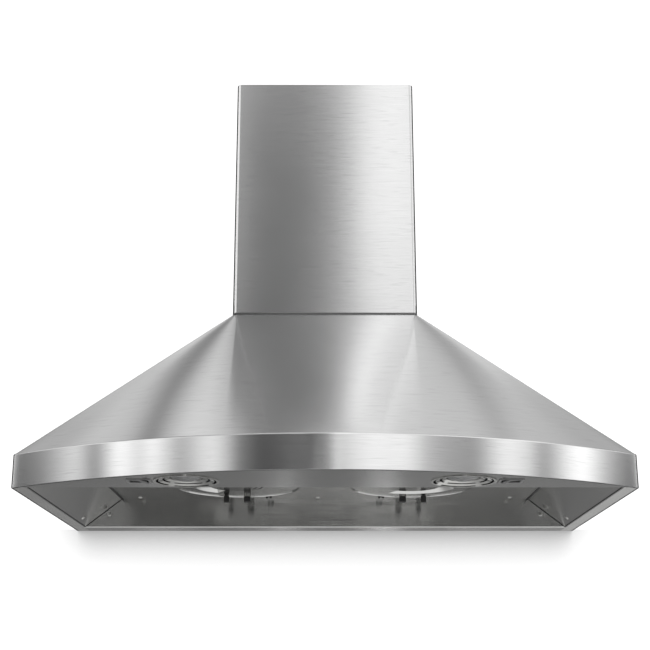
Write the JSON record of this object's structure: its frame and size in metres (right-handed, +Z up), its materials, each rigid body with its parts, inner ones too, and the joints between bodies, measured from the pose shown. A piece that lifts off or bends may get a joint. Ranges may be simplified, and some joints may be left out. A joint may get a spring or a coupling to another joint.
{
  "type": "wall mount range hood",
  "caption": "Wall mount range hood with bowed stainless canopy, U-shaped flue cover, shallow capture recess, two blowers, slotted inlet covers, lamps, rocker switches and a damper.",
  "frame": {"origin": "middle of the hood's lowest edge on the wall plane, on the flat back face", "axes": "+X along the width to the viewer's right, +Y into the wall, +Z up; the bowed front faces -Y"},
  "size_m": [0.9144, 0.6096, 0.7786],
  "materials": {
    "stainless": "satin, brushed along the width",
    "stainless_liner": "satin, brushed along the width",
    "galvanised": "dull zinc sheet",
    "screw_steel": "bright zinc",
    "spacer_metal": "dull",
    "motor_metal": "die cast",
    "impeller_metal": "plain sheet",
    "lamp_trim": "satin",
    "black_plastic": "matte",
    "rocker_plastic": "semi gloss",
    "lens_glass": "frosted",
    "bulb_glass": "clear"
  },
  "bodies": {
    "root": {"canopy_shell": "stainless", "apron_band": "stainless", "chimney_cover": "stainless", "top_plate": "stainless", "lamp_panel": "stainless_liner", "back_liner": "stainless_liner", "ceiling_panel": "stainless_liner", "side_liner_left": "stainless_liner", "side_liner_right": "stainless_liner", "back_panel": "galvanised", "exhaust_plenum": "galvanised", "duct_collar": "galvanised", "chimney_bracket": "galvanised", "junction_box": "galvanised", "junction_cover": "galvanised", "ceiling_screws": "screw_steel", "liner_screws": "screw_steel", "chimney_screws": "screw_steel", "motor_screws": "screw_steel", "damper_rod": "screw_steel", "rim_clips": "black_plastic", "cable_gland": "black_plastic", "blower_scroll_left": "galvanised", "motor_bracket_left": "galvanised", "blower_motor_left": "motor_metal", "lamp_trim_left": "lamp_trim", "lamp_lens_left": "lens_glass", "lamp_bulb_left": "bulb_glass", "lamp_can_left": "galvanised", "switch_bezel_left": "black_plastic", "switch_body_left": "black_plastic", "blower_scroll_right": "galvanised", "motor_bracket_right": "galvanised", "blower_motor_right": "motor_metal", "lamp_trim_right": "lamp_trim", "lamp_lens_right": "lens_glass", "lamp_bulb_right": "bulb_glass", "lamp_can_right": "galvanised", "switch_bezel_right": "black_plastic", "switch_body_right": "black_plastic"},
    "cover_left": {"inlet_cover_left": "stainless_liner", "knob_collar_left": "spacer_metal"},
    "outer_knob_left": {"outer_knob_left": "black_plastic"},
    "inner_knob_left": {"inner_knob_left": "black_plastic"},
    "impeller_left": {"impeller_plate_left": "impeller_metal", "impeller_ring_left": "impeller_metal", "impeller_blades_left": "impeller_metal", "motor_shaft_left": "screw_steel"},
    "rocker_left": {"switch_rocker_left": "rocker_plastic"},
    "cover_right": {"inlet_cover_right": "stainless_liner", "knob_collar_right": "spacer_metal"},
    "outer_knob_right": {"outer_knob_right": "black_plastic"},
    "inner_knob_right": {"inner_knob_right": "black_plastic"},
    "impeller_right": {"impeller_plate_right": "impeller_metal", "impeller_ring_right": "impeller_metal", "impeller_blades_right": "impeller_metal", "motor_shaft_right": "screw_steel"},
    "rocker_right": {"switch_rocker_right": "rocker_plastic"},
    "flap_rear": {"damper_flap_rear": "galvanised"},
    "flap_front": {"damper_flap_front": "galvanised"}
  },
  "joints": [
    {"name": "cover_left_drop", "type": "slide", "parent": "root", "child": "cover_left", "axis": [0, 0, -1], "range_m": [0, 0.08]},
    {"name": "outer_knob_left_turn", "type": "hinge", "parent": "cover_left", "child": "outer_knob_left", "pos_m": [-0.174, -0.106, 0.043], "axis": [0, 0, 1], "range_deg": [0, 90]},
    {"name": "inner_knob_left_turn", "type": "hinge", "parent": "cover_left", "child": "inner_knob_left", "pos_m": [-0.137, -0.107, 0.043], "axis": [0, 0, 1], "range_deg": [0, 90]},
    {"name": "impeller_left_spin", "type": "hinge", "parent": "root", "child": "impeller_left", "pos_m": [-0.147, -0.193, 0.1], "axis": [0, 0, 1], "continuous": true},
    {"name": "rocker_left_press", "type": "hinge", "parent": "root", "child": "rocker_left", "pos_m": [-0.261, -0.522, 0.004], "axis": [0, -1, 0], "range_deg": [0, 16]},
    {"name": "cover_right_drop", "type": "slide", "parent": "root", "child": "cover_right", "axis": [0, 0, -1], "range_m": [0, 0.08]},
    {"name": "outer_knob_right_turn", "type": "hinge", "parent": "cover_right", "child": "outer_knob_right", "pos_m": [0.174, -0.106, 0.043], "axis": [0, 0, 1], "range_deg": [0, 90]},
    {"name": "inner_knob_right_turn", "type": "hinge", "parent": "cover_right", "child": "inner_knob_right", "pos_m": [0.137, -0.107, 0.043], "axis": [0, 0, 1], "range_deg": [0, 90]},
    {"name": "impeller_right_spin", "type": "hinge", "parent": "root", "child": "impeller_right", "pos_m": [0.147, -0.193, 0.1], "axis": [0, 0, 1], "continuous": true},
    {"name": "rocker_right_press", "type": "hinge", "parent": "root", "child": "rocker_right", "pos_m": [0.261, -0.522, 0.004], "axis": [0, 1, 0], "range_deg": [0, 16]},
    {"name": "flap_rear_lift", "type": "hinge", "parent": "root", "child": "flap_rear", "pos_m": [0, -0.123, 0.3636], "axis": [1, 0, 0], "range_deg": [0, 78]},
    {"name": "flap_front_lift", "type": "hinge", "parent": "root", "child": "flap_front", "pos_m": [0, -0.123, 0.3636], "axis": [-1, 0, 0], "range_deg": [0, 78]}
  ]
}
